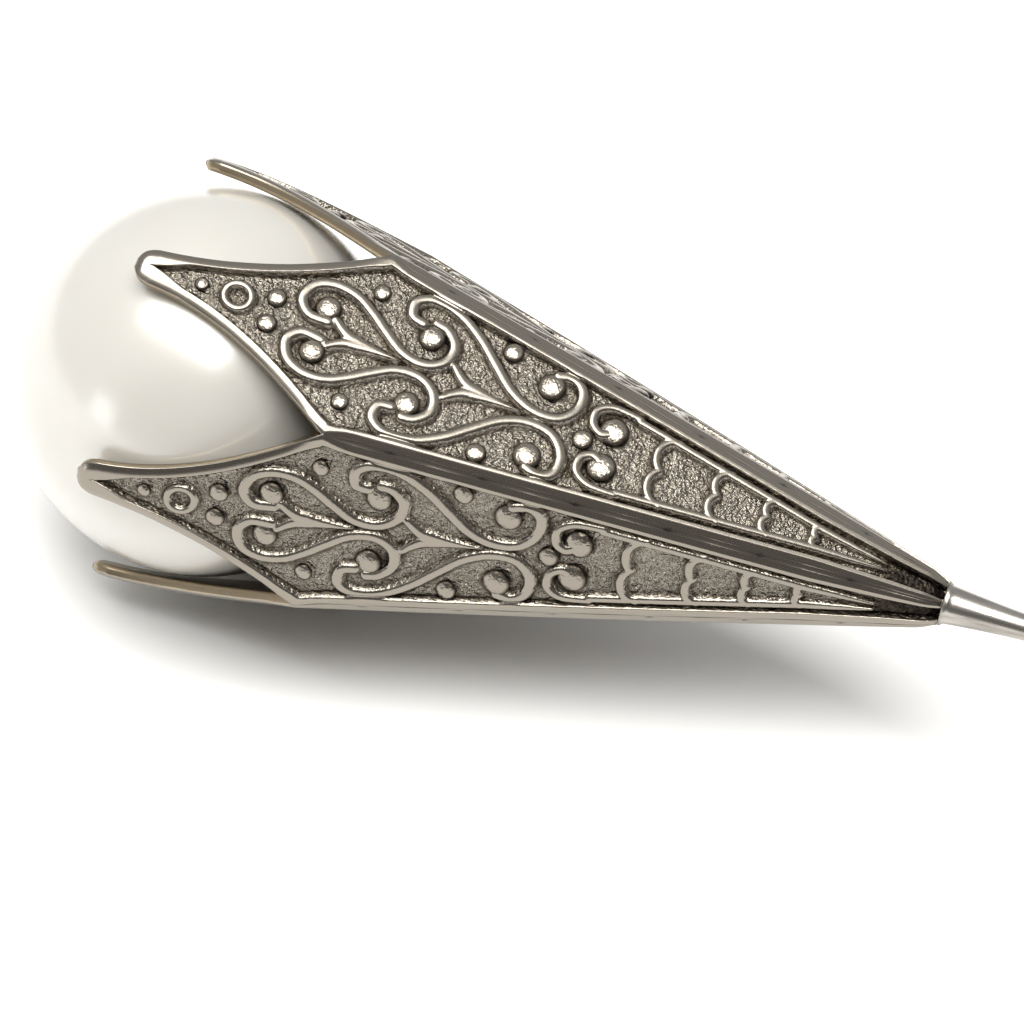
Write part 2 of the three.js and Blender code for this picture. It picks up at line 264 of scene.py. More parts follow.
def frame_line():
    """The line that runs down beside each border, closing to the middle near the blunt end."""
    u = np.linspace(*FRAME_ENDS, FRAME_SAMPLES)
    return np.stack([u, np.maximum(half_width(u) - frame_inset(u), 0)], axis=1)


def arch(at):
    """One lobe of a two-lobed brace, which rounds into the frame line."""
    u = np.array([at])
    span = max(float((half_width(u) - frame_inset(u))[0]), ARCH_MIN_SPAN)
    radius = span / (1 - ARCH_CUSP)
    turn = np.linspace(ARCH_CUSP, 1, ARCH_SAMPLES)
    lift = ARCH_ROUND * radius * (np.sqrt(1 - turn**2) - 0.5)
    return np.stack([at + lift, radius * (turn - ARCH_CUSP)], axis=1)


# %% Draw the strokes
STROKES = [even(smooth_stroke(SCROLL_LARGE), SCROLL_HALF), even(smooth_stroke(SCROLL_LONG), SCROLL_HALF)]
STROKES += [tapered(smooth_stroke(leaf), LEAF_HALF) for leaf in LEAVES]
STROKES += [tapered(smooth_stroke(C_SCROLL), C_SCROLL_HALF), tapered(frame_line(), FRAME_HALF)]
STROKES += [even(arch(at), BORDER_HALF) for at in ARCHES]
print("strokes", len(STROKES), "with", sum(len(line) for line in STROKES), "samples")

# %% [markdown]
# ## Beads
# Small domes fill the gaps between the scrolls and sit in the eye of each curl. They could be part
# of the height, like the strokes, but a dome's steep foot would need a very fine grid. So each is
# only listed here by its place and radius, and they are set as rounds of their own further down.

# %% Beads of half a petal: u, v and radius in millimetres
BEADS = [(31.1, 0.0, 0.3), (28.2, 0.6, 0.42), (26.2, 1.0, 0.54), (24.5, 2.55, 0.38), (22.1, 1.55, 0.56),
         (18.95, 2.35, 0.44), (17.1, 1.6, 0.6), (15.3, 0.0, 0.44), (14.25, 0.82, 0.64)]
BEAD_FLATNESS = 0.4
BEAD_LIFT = 0.05
BEAD_GRAIN = 0.22
RING = (29.6, 0.0, 0.54)
RING_HALF_WIDTH = 0.2
print("beads on half a petal", len(BEADS))

# %% [markdown]
# ## Height over a petal
# On the real petal the rim and the strokes stand above a sunk ground, with a thin dark groove just
# inside the rim. Displacing a finished mesh from an image would blur such narrow lines. Here the
# height is a function of place, so it is as sharp as the mesh that samples it.

# %% Turn strokes and border into a height
GROUND = -0.26
RELIEF_TOP = 0.0
GROOVE_DEPTH = 0.06
EDGE_DROP = 0.13
END_DROP = 0.16
END_ROUND = 0.9
GROOVE_AT = 0.07
GROOVE_WIDTH = 0.06
RIM_FOOT = (0.04, 0.06)  # the rim's inner side falls between these distances from its edge
FREE_FADE = (0.5, 1.5)  # the free rim's rounding fades in between these, from the valley
STROKE_POWER = 3.2
STROKE_SHOULDER = 0.6
EDGE_SAMPLES = (400, 300)
END_SAMPLES = 8
print("ground", -GROUND, "mm under the rim")


# %% Distances to strokes and to the outline
def nearest(grid_u, grid_v, rows):
    """Distance from every grid spot to the nearest sample, as a share of the sample's half width."""
    best = np.full(grid_u.shape, 1e9)
    for u, v, half in rows:
        best = np.minimum(best, ((grid_u - u) ** 2 + (grid_v - v) ** 2) / half**2)
    return np.sqrt(best)


def border_distance(grid_u, grid_v):
    """Distance to the petal's outline, which bends sharply at the valley."""
    cone_u = np.linspace(0, CONE_LENGTH, EDGE_SAMPLES[0])
    edge_u = np.concatenate([cone_u, np.linspace(CONE_LENGTH, TIP_U, EDGE_SAMPLES[1])])
    end_v = np.linspace(0, TIP_FLAT, END_SAMPLES)
    edge = np.concatenate([np.stack([edge_u, half_width(edge_u)], axis=1),
                           np.stack([np.full(END_SAMPLES, TIP_U), end_v], axis=1)])
    return nearest(grid_u, np.abs(grid_v), even(edge, 1.0))


def rounded_top(share):
    """Cross-section of a stroke: 1 on its middle, 0 from its edge outwards."""
    return (1 - np.clip(share, 0, 1) ** STROKE_POWER) ** STROKE_SHOULDER


print("a stroke is", round(float(rounded_top(0.5)), 2), "of its height half way out")


# %% Add strokes and border into one height
def stroke_height(grid_u, grid_v):
    """How far each spot is raised by a stroke or by the ring, from 0 to 1."""
    side = np.abs(grid_v)
    raised = np.zeros(grid_u.shape)
    for rows in STROKES:
        raised = np.maximum(raised, rounded_top(nearest(grid_u, side, rows)))
    ring = np.abs(np.hypot(grid_u - RING[0], side - RING[1]) - RING[2]) / RING_HALF_WIDTH
    return np.maximum(raised, rounded_top(ring))


def petal_height(grid_u, grid_v):
    """Height of the outer side, where 0 is the top of the rim, and how much each spot is bare ground."""
    raised = stroke_height(grid_u, grid_v)
    e = border_distance(grid_u, grid_v)
    bevel, rim = border_widths(grid_u)
    inner = bevel + rim
    free = smooth_step(grid_u, CONE_LENGTH - FREE_FADE[0], CONE_LENGTH + FREE_FADE[1])
    rim_top = -np.maximum(bevel - e, 0) * math.tan(HALF_PETAL)
    rim_top = rim_top - free * EDGE_DROP * np.clip(1 - e / FREE_RIM_WIDTH, 0, 1) ** 2
    inside = smooth_step(e, inner - RIM_FOOT[0], inner + RIM_FOOT[1])
    groove = GROOVE_DEPTH * np.exp(-((e - inner - GROOVE_AT) / GROOVE_WIDTH) ** 2)
    field = GROUND - groove + (RELIEF_TOP - GROUND) * raised
    height = rim_top * (1 - inside) + field * inside
    height = height - END_DROP * np.clip(1 - grid_u / END_ROUND, 0, 1) ** 2
    return height, inside * (1 - raised)


def bead_height(grid_u, grid_v):
    """The beads' own height over the ground, to tell where patina gathers round them."""
    height = np.full(grid_u.shape, GROUND)
    for u, v, radius in BEADS:
        share = np.clip(np.hypot(grid_u - u, np.abs(grid_v) - v) / radius, 0, 1)
        dome = GROUND + BEAD_LIFT + BEAD_FLATNESS * radius * np.sqrt(1 - share**2)
        height = np.maximum(height, np.where(share < 1, dome, GROUND))
    return height


print("tallest bead", round(BEAD_FLATNESS * max(radius for _, _, radius in BEADS), 3), "mm")

# %% [markdown]
# ## A grid over the petal
# The height has to be sampled closely enough for the thinnest line. A subdivided plane would waste
# points outside the outline, so the rows and columns of this grid follow it, closer at the tip.

# %% Lay a grid over the petal
COLUMNS = 137
ROWS = 540
TIP_ROWS = 12

cone_rows = np.linspace(0, TIP_U - TIP_HALF_WIDTH, ROWS - TIP_ROWS, endpoint=False)
round_rows = TIP_U - TIP_HALF_WIDTH * (1 - np.sin(np.linspace(0, math.pi / 2, TIP_ROWS)))
row_u = np.concatenate([cone_rows, round_rows])
column = np.linspace(-1, 1, COLUMNS)
GRID_U, COLUMN = np.meshgrid(row_u, column, indexing="ij")
GRID_V = COLUMN * half_width(row_u)[:, None]
HEIGHT, FIELD = petal_height(GRID_U, GRID_V)
print("relief from", round(float(HEIGHT.min()), 3), "to", round(float(HEIGHT.max()), 3), "mm")

# %% [markdown]
# ## Where the dark film stays
# Such a petal is darkened all over and then rubbed back, so the film stays where a cloth can't
# reach. Blurring the height and comparing it with itself tells how deep in a hollow each spot lies.
# That could be painted by hand, but here it is a number kept on the mesh, which the finish reads.

# %% Work out the film
BLUR_WIDTH = 7
HOLLOW_START = 0.035
HOLLOW_FILM = 4.6
GROUND_FILM = 0.15
BLUNT_FILM = 0.5
BLUNT_FADE = (2.0, 3.4)


def blurred(values, width):
    """A box blur along both directions, repeated for a soft result."""
    kernel = np.ones(width) / width
    for _ in range(2):
        for axis in (0, 1):
            pad = [(width // 2, width // 2) if k == axis else (0, 0) for k in (0, 1)]
            padded = np.pad(values, pad, mode="edge")
            values = np.apply_along_axis(lambda line: np.convolve(line, kernel, "valid"), axis, padded)
    return values


hollow = blurred(np.maximum(HEIGHT, bead_height(GRID_U, GRID_V)), BLUR_WIDTH) - HEIGHT
at_blunt_end = 1 - smooth_step(GRID_U, *BLUNT_FADE)
film_on_ground = (GROUND_FILM + BLUNT_FILM * at_blunt_end) * FIELD
PATINA = np.clip(film_on_ground + HOLLOW_FILM * np.maximum(hollow - HOLLOW_START, 0), 0, 1)
print("film covers", round(float(PATINA.mean()), 2), "of a petal on average")

# %% [markdown]
# ## The petal's mesh
# A petal is a thin plate with a plain back. A flat sheet with a Solidify modifier would give the
# wall, but not the mitred seams and the thinned tip. So the petal is a row of closed cross-sections:
# many points over the relief, a few down each edge and a few across the inside.

# %% Sections of a petal
INSIDE = 9
EDGE_STEPS = 3
INNER_ROUND = 0.12
INNER_ROUND_SHARE = 0.4
MITRE_FADE = 0.3
TIP_ROUND = 0.3
TIP_THINNING = 0.85
WALL_FILM = 0.3
OUTER = apothem(row_u)
INNER = np.maximum(OUTER - WALL, SHANK_R + BORE_GAP)
HALF = half_width(row_u)


def inside_halves():
    """Half width of a petal's inner side, and of the flat left between its rounded corners."""
    free = smooth_step(row_u, CONE_LENGTH, CONE_LENGTH + MITRE_FADE)
    corner = HALF - (OUTER - INNER) * math.tan(HALF_PETAL) * (1 - free)
    return corner, corner - np.minimum(INNER_ROUND, INNER_ROUND_SHARE * corner) * free


def edge_wall(sign, end, corner, t):
    """Points down one edge of the petal, from its outer side to its inner."""
    start = (OUTER + HEIGHT[:, end])[:, None]
    return np.stack([np.repeat(-row_u[:, None], EDGE_STEPS, 1),
                     sign * (HALF[:, None] + (corner - HALF)[:, None] * t),
                     start + (INNER[:, None] - start) * t], axis=2)


def thinned_tip(points):
    """The sections, made thinner about the middle of the wall near the petal's tip."""
    past = np.clip((row_u - TIP_U + TIP_ROUND) / TIP_ROUND, 0, 1)
    share = np.sqrt(1 - TIP_THINNING * past**2)[:, None]
    middle = (OUTER - WALL / 2)[:, None]
    points[:, :, 2] = middle + (points[:, :, 2] - middle) * share
    return points


def petal_sections():
    """Points of every cross-section: the relief, an edge, the inside and the other edge."""
    corner, flat = inside_halves()
    top = np.stack([-GRID_U, GRID_V, OUTER[:, None] + HEIGHT], axis=2)
    t = (np.arange(1, EDGE_STEPS + 1) / (EDGE_STEPS + 1))[None, :]
    across = np.linspace(1, -1, INSIDE)[None, :]
    inside = np.stack([np.repeat(-row_u[:, None], INSIDE, 1), flat[:, None] * across,
                       np.repeat(INNER[:, None], INSIDE, 1)], axis=2)
    walls = edge_wall(1, -1, corner, t), edge_wall(-1, 0, corner, t[:, ::-1])
    return thinned_tip(np.concatenate([top, walls[0], inside, walls[1]], axis=1))


def section_marks(shape):
    """The numbers that drive the finish: dark film, bare ground, and wall or inside."""
    marks = {"patina": np.full(shape, WALL_FILM), "ground": np.zeros(shape), "wall": np.ones(shape)}
    for name, outer_side in (("patina", PATINA), ("ground", FIELD), ("wall", 0)):
        marks[name][:, :COLUMNS] = outer_side
    return marks


SECTION_POINTS = petal_sections()
MARKS = section_marks(SECTION_POINTS.shape[:2])
LOOP = SECTION_POINTS.shape[1]
print("sections", len(row_u), "of", LOOP, "points")


# %% Join the sections into a shell
def shell_faces(rows, loop):
    """Quads between neighbouring sections, and a fan over each end."""
    faces = []
    for r in range(rows - 1):
        a, b = r * loop, (r + 1) * loop
        faces.extend((a + i, a + (i + 1) % loop, b + (i + 1) % loop, b + i) for i in range(loop))
    first, last = rows * loop, rows * loop + 1
    end = (rows - 1) * loop
    faces.extend((first, (i + 1) % loop, i) for i in range(loop))
    faces.extend((last, end + i, end + (i + 1) % loop) for i in range(loop))
    return faces


FACES = shell_faces(len(row_u), LOOP)
ends = np.stack([SECTION_POINTS[0].mean(axis=0), SECTION_POINTS[-1].mean(axis=0)])
PETAL_POINTS = np.concatenate([SECTION_POINTS.reshape(-1, 3), ends])
PETAL_MARKS = {name: np.append(values, [WALL_FILM] * len(ends)) for name, values in MARKS.items()}
print("points", len(PETAL_POINTS), "faces", len(FACES))

# %% [markdown]
# ## Tools for the finishes
# Every finish is a small tree of nodes round one shader. They could be painted as images, but then
# they would need an unwrapped surface. Noise on Object coordinates needs none, and stays put when a
# piece moves. These helpers keep each finish down to a few lines.

# %% Helpers that add nodes
def new_material(name):
    """A material, its tree and its shader."""
    material = bpy.data.materials.new(name)
    material.use_nodes = True
    tree = material.node_tree
    return material, tree, tree.nodes["Principled BSDF"]


def noise(tree, scale, detail=3.0, stretch=None):
    """Noise on Object coordinates, optionally stretched by a Mapping node."""
    coords = tree.nodes.new("ShaderNodeTexCoord")
    texture = tree.nodes.new("ShaderNodeTexNoise")
    texture.inputs["Scale"].default_value = scale
    texture.inputs["Detail"].default_value = detail
    source = coords.outputs["Object"]
    if stretch:
        mapping = tree.nodes.new("ShaderNodeMapping")
        mapping.inputs["Scale"].default_value = stretch
        tree.links.new(source, mapping.inputs["Vector"])
        source = mapping.outputs["Vector"]
    tree.links.new(source, texture.inputs["Vector"])
    return texture.outputs["Fac"]


def ramp(tree, source, stops):
    """A colour ramp through stops of position and colour."""
    node = tree.nodes.new("ShaderNodeValToRGB")
    tree.links.new(source, node.inputs["Fac"])
    elements = node.color_ramp.elements
    while len(elements) < len(stops):
        elements.new(0.5)
    for element, (position, colour) in zip(elements, stops):
        element.position = position
        element.color = (*colour, 1)
    return node.outputs["Color"]


def maths(tree, operation, *values, clamp=False):
    """A Math node on sockets or plain numbers."""
    node = tree.nodes.new("ShaderNodeMath")
    node.operation = operation
    node.use_clamp = clamp
    for socket, value in zip(node.inputs, values):
        if isinstance(value, (int, float)):
            socket.default_value = value
        else:
            tree.links.new(value, socket)
    return node.outputs[0]


def bump(tree, shader, source, strength, distance, after=None):
    """A Bump node on the shader, over an earlier one if there is one."""
    node = tree.nodes.new("ShaderNodeBump")
    node.inputs["Distance"].default_value = distance
    if isinstance(strength, (int, float)):
        node.inputs["Strength"].default_value = strength
    else:
        tree.links.new(strength, node.inputs["Strength"])
    tree.links.new(source, node.inputs["Height"])
    if after:
        tree.links.new(after, node.inputs["Normal"])
    tree.links.new(node.outputs["Normal"], shader.inputs["Normal"])
    return node.outputs["Normal"]


def mark(tree, name):
    """One of the numbers kept on the mesh, as a socket."""
    node = tree.nodes.new("ShaderNodeAttribute")
    node.attribute_name = name
    return node.outputs["Fac"]


print("helpers", [helper.__name__ for helper in (noise, ramp, maths, bump, mark)])

# %% [markdown]
# ## Antique silver
# A bright plate carries a dark film that rubbing has taken off everything raised. Two materials with
# a hard border between them would look like paint. Here one number, the depth of the film, darkens
# and dulls the metal together, a fine noise breaks up its edge, and a stippled bump in the ground
# gives the sparkle of the cells. The plain backs and walls are warmer, as worn plate is.

# %% Finish the silver
BRIGHT = (0.30, 0.272, 0.232)
WARM = (0.13, 0.11, 0.085)
BLACKENED = (0.012, 0.010, 0.009)
GOLDEN = (0.40, 0.32, 0.21)
GOLDEN_ON_WALLS = 0.7
FILM_STOPS = (0.12, 0.42, 0.75)
FILM_NOISE = 2600
FILM_BREAK = 0.5  # how far the noise moves the film's edge, half each way
STIPPLE_NOISE = 6000
STIPPLE_DEPTH = 0.0002
WEAR_NOISE = 1500
WEAR_STRENGTH = 0.12
WEAR_DEPTH = 0.00004


def antique_silver():
    material, tree, shader = new_material("antique_silver")
    patina, ground, wall = mark(tree, "patina"), mark(tree, "ground"), mark(tree, "wall")
    broken = maths(tree, "MULTIPLY_ADD", noise(tree, FILM_NOISE, 4), FILM_BREAK, -FILM_BREAK / 2)
    depth = maths(tree, "ADD", patina, broken, clamp=True)
    silver = ramp(tree, depth, list(zip(FILM_STOPS, (BRIGHT, WARM, BLACKENED))))
    golden = tree.nodes.new("ShaderNodeMix")
    golden.data_type = "RGBA"
    tree.links.new(maths(tree, "MULTIPLY", wall, GOLDEN_ON_WALLS), golden.inputs["Factor"])
    tree.links.new(silver, golden.inputs["A"])
    golden.inputs["B"].default_value = (*GOLDEN, 1)
    tree.links.new(golden.outputs["Result"], shader.inputs["Base Color"])
    shader.inputs["Metallic"].default_value = 1
    rough = ramp(tree, depth, [(0.1, (0.24,) * 3), (0.9, (0.5,) * 3)])
    tree.links.new(rough, shader.inputs["Roughness"])
    stipple = bump(tree, shader, noise(tree, STIPPLE_NOISE, 2), ground, STIPPLE_DEPTH)
    bump(tree, shader, noise(tree, WEAR_NOISE, 3), WEAR_STRENGTH, WEAR_DEPTH, after=stipple)
    return material


SILVER = antique_silver()
print("material", SILVER.name)

# %% [markdown]
# ## Pearl lacquer
# The bead is dipped in many thin coats of lacquer with a pearly powder in it. A plain white gloss
# would look like china. A little light goes into the surface, the base is slightly rough, and a
# clear coat of high index over it gives the bright soft-edged highlight.

# %% Finish the pearl
def pearl_coat():
    material, tree, shader = new_material("pearl_coat")
    cloud = noise(tree, 180, 2)
    colour = ramp(tree, cloud, [(0.3, (0.60, 0.585, 0.54)), (0.7, (0.63, 0.615, 0.575))])
    tree.links.new(colour, shader.inputs["Base Color"])
    shader.inputs["Roughness"].default_value = 0.3
    shader.inputs["IOR"].default_value = 1.7
    shader.inputs["Metallic"].default_value = 0.1
    shader.inputs["Subsurface Weight"].default_value = 0.3
    shader.inputs["Subsurface Radius"].default_value = (1.0, 0.8, 0.65)
    shader.inputs["Subsurface Scale"].default_value = 0.0015
    shader.inputs["Coat Weight"].default_value = 1.0
    shader.inputs["Coat Roughness"].default_value = 0.2
    shader.inputs["Coat IOR"].default_value = 1.8
    bump(tree, shader, noise(tree, 900, 2), 0.03, 0.00005)
    return material


PEARL = pearl_coat()
print("material", PEARL.name)

# %% [markdown]
# ## Steel and nylon
# Wire is pulled through a die, which leaves fine lines along it. Anisotropy could suggest them, but
# noise stretched along the wire gives real streaks in its colour, roughness and surface. The guard's
# sleeve is plain natural nylon.

# %% Finish the wire and the sleeve
LINES_STRETCH = (60, 5000, 5000)


def drawn_steel():
    material, tree, shader = new_material("drawn_steel")
    lines = noise(tree, 1, 3, stretch=LINES_STRETCH)
    colour = ramp(tree, lines, [(0.3, (0.30, 0.28, 0.255)), (0.7, (0.52, 0.49, 0.455))])
    tree.links.new(colour, shader.inputs["Base Color"])
    shader.inputs["Metallic"].default_value = 1
    rough = ramp(tree, lines, [(0.3, (0.36,) * 3), (0.7, (0.22,) * 3)])
    tree.links.new(rough, shader.inputs["Roughness"])
    bump(tree, shader, lines, 0.15, 0.00002)
    return material


def nylon():
    material, tree, shader = new_material("nylon")
    colour = ramp(tree, noise(tree, 700, 3), [(0.3, (0.78, 0.76, 0.70)), (0.7, (0.84, 0.82, 0.77))])
    tree.links.new(colour, shader.inputs["Base Color"])
    shader.inputs["Roughness"].default_value = 0.5
    return material


STEEL = drawn_steel()
NYLON = nylon()
print("materials", STEEL.name, NYLON.name)

# %% [markdown]
# ## Setting the petals
# Petals like these come from one die, so one shell serves for all six. An array modifier could turn
# it round the pin, but each petal stands for a solid of its own. So it is placed six times, each
# facing the way its solid faces, and the seams between them close to a hairline.

# %% Helpers for new pieces
def outward(mesh):
    """Turns every face of a closed mesh outwards."""
    work = bmesh.new()
    work.from_mesh(mesh)
    bmesh.ops.recalc_face_normals(work, faces=work.faces)
    work.to_mesh(mesh)
    work.free()


def petal_place(name):
    """The matrix that stands a petal, drawn facing +Z in millimetres with u towards -X, in its place."""
    out = FACING[name]
    across = out.cross(AXIS)
    return Matrix(((AXIS.x, across.x, out.x, BLUNT.x / MM), (AXIS.y, across.y, out.y, BLUNT.y / MM),
                   (AXIS.z, across.z, out.z, BLUNT.z / MM), (0, 0, 0, 1)))


def new_piece(name, points, faces, material):
    """A smooth closed mesh object from points in metres."""
    mesh = bpy.data.meshes.new(name)
    mesh.from_pydata([tuple(p) for p in points], [], faces)
    mesh.materials.append(material)
    outward(mesh)
    mesh.polygons.foreach_set("use_smooth", [True] * len(mesh.polygons))
    mesh.update()
    piece = bpy.data.objects.new(name, mesh)
    bpy.context.scene.collection.objects.link(piece)
    return piece


def sharpen_seams(piece):
    """Keeps the corner between a petal's outer side and its seam wall sharp, up to the valley."""
    mesh = piece.data
    ends = np.empty(2 * len(mesh.edges), np.int64)
    mesh.edges.foreach_get("vertices", ends)
    ends = ends.reshape(-1, 2)
    row, place = np.divmod(ends, LOOP)
    along = (place[:, 0] == place[:, 1]) & np.isin(place[:, 0], (0, COLUMNS - 1))
    on_cone = row_u[np.minimum(row.min(axis=1), len(row_u) - 1)] < CONE_LENGTH
    sharp = mesh.attributes.new("sharp_edge", "BOOLEAN", "EDGE")
    sharp.data.foreach_set("value", along & on_cone & (row.max(axis=1) < len(row_u)))


def set_marks(piece, **marks):
    """Keeps the numbers that drive the finish on the mesh."""
    for name in ("patina", "ground", "wall"):
        values = np.broadcast_to(marks.get(name, 0.0), len(piece.data.vertices))
        attribute = piece.data.attributes.new(name, "FLOAT", "POINT")
        attribute.data.foreach_set("value", values.astype(np.float32))


def in_world(points, place):
    """Points in millimetres, moved by a matrix in millimetres, as metres."""
    matrix = np.array(place)
    return (points @ matrix[:3, :3].T + matrix[:3, 3]) * MM


print("a petal's shell is", round(float(np.ptp(PETAL_POINTS[:, 0])), 2), "mm long")

# %% Set the six petals
for name in PETALS:
    piece = new_piece(f"relief_{name}", in_world(PETAL_POINTS, petal_place(name)), FACES, SILVER)
    set_marks(piece, **PETAL_MARKS)
    sharpen_seams(piece)
    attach(piece, "pin")
    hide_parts(name)
print("triangles in a petal", 2 * len(FACES))

# %% [markdown]
# ## Beads by Geometry Nodes
# Nearly a hundred domes of different sizes repeat one shape. A loop could make them one by one, but
# a tree of nodes says it once: put a low sphere on each point of a cloud, scaled by the point's own
# radius and turned to stand on the petal, then make the result real and give it its material.

# %% Build the tree
BEAD_SEGMENTS = 16
BEAD_RINGS = 12


def named_attribute(tree, name, kind):
    """A number or direction that each point of the cloud carries, as a socket."""
    node = tree.nodes.new("GeometryNodeInputNamedAttribute")
    node.data_type = kind
    node.inputs["Name"].default_value = name
    return node.outputs["Attribute"]


def bead_tree(material):
    """The tree, and the identifier of its Flatness input."""
    tree = bpy.data.node_groups.new("beads_on_points", "GeometryNodeTree")
    face = tree.interface
    face.new_socket("Geometry", in_out="INPUT", socket_type="NodeSocketGeometry")
    flat_input = face.new_socket("Flatness", in_out="INPUT", socket_type="NodeSocketFloat")
    flat_input.default_value = BEAD_FLATNESS
    face.new_socket("Geometry", in_out="OUTPUT", socket_type="NodeSocketGeometry")
    add = tree.nodes.new
    start, end = add("NodeGroupInput"), add("NodeGroupOutput")
    sphere = add("GeometryNodeMeshUVSphere")
    sphere.inputs["Segments"].default_value = BEAD_SEGMENTS
    sphere.inputs["Rings"].default_value = BEAD_RINGS
    sphere.inputs["Radius"].default_value = 1
    radius = named_attribute(tree, "radius", "FLOAT")
    facing = named_attribute(tree, "facing", "FLOAT_VECTOR")
    low = add("ShaderNodeMath")
    low.operation = "MULTIPLY"
    size = add("ShaderNodeCombineXYZ")
    turn = add("FunctionNodeAlignRotationToVector")
    turn.axis = "Z"
    place = add("GeometryNodeInstanceOnPoints")
    real = add("GeometryNodeRealizeInstances")
    smooth = add("GeometryNodeSetShadeSmooth")
    finish = add("GeometryNodeSetMaterial")
    finish.inputs["Material"].default_value = material
    join = tree.links.new
    join(start.outputs["Geometry"], place.inputs["Points"])
    join(sphere.outputs["Mesh"], place.inputs["Instance"])
    join(radius, low.inputs[0])
    join(start.outputs["Flatness"], low.inputs[1])
    for socket in ("X", "Y"):
        join(radius, size.inputs[socket])
    join(low.outputs[0], size.inputs["Z"])
    join(size.outputs["Vector"], place.inputs["Scale"])
    join(facing, turn.inputs["Vector"])
    join(turn.outputs["Rotation"], place.inputs["Rotation"])
    join(place.outputs["Instances"], real.inputs["Geometry"])
    join(real.outputs["Geometry"], smooth.inputs["Geometry"])
    join(smooth.outputs["Geometry"], finish.inputs["Geometry"])
    join(finish.outputs["Geometry"], end.inputs["Geometry"])
    return tree, flat_input.identifier


tree, flatness = bead_tree(SILVER)
print("nodes in the tree", len(tree.nodes))


# %% Scatter the beads
BEAD_FILM = 0.7
BEAD_RUBBED = (0.2, 0.85)  # the film thins out between these shares of a bead's height


def bead_spots():
    """Place, facing and radius of every bead, in metres."""
    places, facings, radii = [], [], []
    for name in PETALS:
        matrix = petal_place(name)
        for u, v, radius in BEADS:
            for side in ((1, -1) if v else (1,)):
                top = float(apothem(np.array([u]))[0]) + GROUND + BEAD_LIFT
                places.append(matrix @ Vector((-u, side * v, top)) * MM)
                facings.append(FACING[name])
                radii.append(radius * MM)
    return places, facings, radii


def plain_mesh(source, name):
    """The evaluated object as a plain mesh object; the source is removed."""
    bpy.context.view_layer.update()
    evaluated = source.evaluated_get(bpy.context.evaluated_depsgraph_get())
    mesh = bpy.data.meshes.new_from_object(evaluated)
    bpy.data.objects.remove(source)
    piece = bpy.data.objects.new(name, mesh)
    bpy.context.scene.collection.objects.link(piece)
    return piece


places, facings, radii = bead_spots()
cloud = bpy.data.meshes.new("bead_points")
cloud.from_pydata(places, [], [])
cloud.attributes.new("radius", "FLOAT", "POINT").data.foreach_set("value", radii)
cloud.attributes.new("facing", "FLOAT_VECTOR", "POINT").data.foreach_set(
    "vector", [c for facing in facings for c in facing])
source = bpy.data.objects.new("bead_points", cloud)
bpy.context.scene.collection.objects.link(source)
modifier = source.modifiers.new("beads", "NODES")
modifier.node_group = tree
modifier[flatness] = BEAD_FLATNESS
beads = plain_mesh(source, "relief_beads")
each = len(beads.data.vertices) // len(radii)
corners = np.array([vertex.co for vertex in beads.data.vertices]).reshape(len(radii), each, 3)
rise = ((corners - np.array(places)[:, None]) * np.array(facings)[:, None]).sum(axis=2)
share = rise / (np.array(radii)[:, None] * BEAD_FLATNESS)
film = BEAD_FILM * (1 - smooth_step(share, *BEAD_RUBBED))
set_marks(beads, patina=film.reshape(-1), ground=BEAD_GRAIN)
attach(beads, "pin")
print("beads", len(radii), "faces", len(beads.data.polygons))

# %% [markdown]
# ## Turned pieces
# The pearl, the wire and the guard are all round. A Screw modifier would turn a profile too, but it
# would need a helper object to carry the tilted centre line. So a short function turns a list of
# stations and radii about that line, with enough steps to look smooth.

# %% Turn a profile
TURN_STEPS = 96
WIRE_STEPS = 48
SAME_SPOT = 1e-7
NO_LENGTH = 1e-8


def close_poles(mesh):
    """Merges the rings of no radius into single points, and turns the faces outwards."""
    work = bmesh.new()
    work.from_mesh(mesh)
    bmesh.ops.remove_doubles(work, verts=work.verts, dist=SAME_SPOT)
    bmesh.ops.dissolve_degenerate(work, edges=work.edges, dist=NO_LENGTH)
    bmesh.ops.recalc_face_normals(work, faces=work.faces)
    work.to_mesh(mesh)
    work.free()
    mesh.polygons.foreach_set("use_smooth", [True] * len(mesh.polygons))


def turned(name, profile, material, steps=TURN_STEPS, closed=False):
    """A closed mesh from [x, radius] points in millimetres; x runs from the blunt end to the point."""
    place = petal_place("petal_4")
    points, faces = [], []
    for x, radius in profile:
        for k in range(steps):
            angle = 2 * math.pi * k / steps
            points.append((x, radius * math.sin(angle), radius * math.cos(angle)))
    count = len(profile)
    for r in range(count if closed else count - 1):
        a, b = r * steps, ((r + 1) % count) * steps
        faces.extend((a + k, a + (k + 1) % steps, b + (k + 1) % steps, b + k) for k in range(steps))
    piece = new_piece(name, in_world(np.array(points, float), place), faces, material)
    close_poles(piece.data)
    return piece


print("turned pieces have", TURN_STEPS, "steps round, the wire", WIRE_STEPS)

# %% [markdown]
# ## The pearl
# A real imitation pearl is a bead dipped in lacquer, round to the eye but for a blind hole for the
# wire. A sphere with the hole cut out would leave a ragged mouth. Turned as an arc that runs into
# the hole, it stays clean, and the hole faces the calyx.

# %% Turn the pearl
PEARL_U = CONE_LENGTH + PEARL_SETBACK
PEG_DEPTH = 7
HOLE_SPARE = 1
PEARL_STEPS = 110

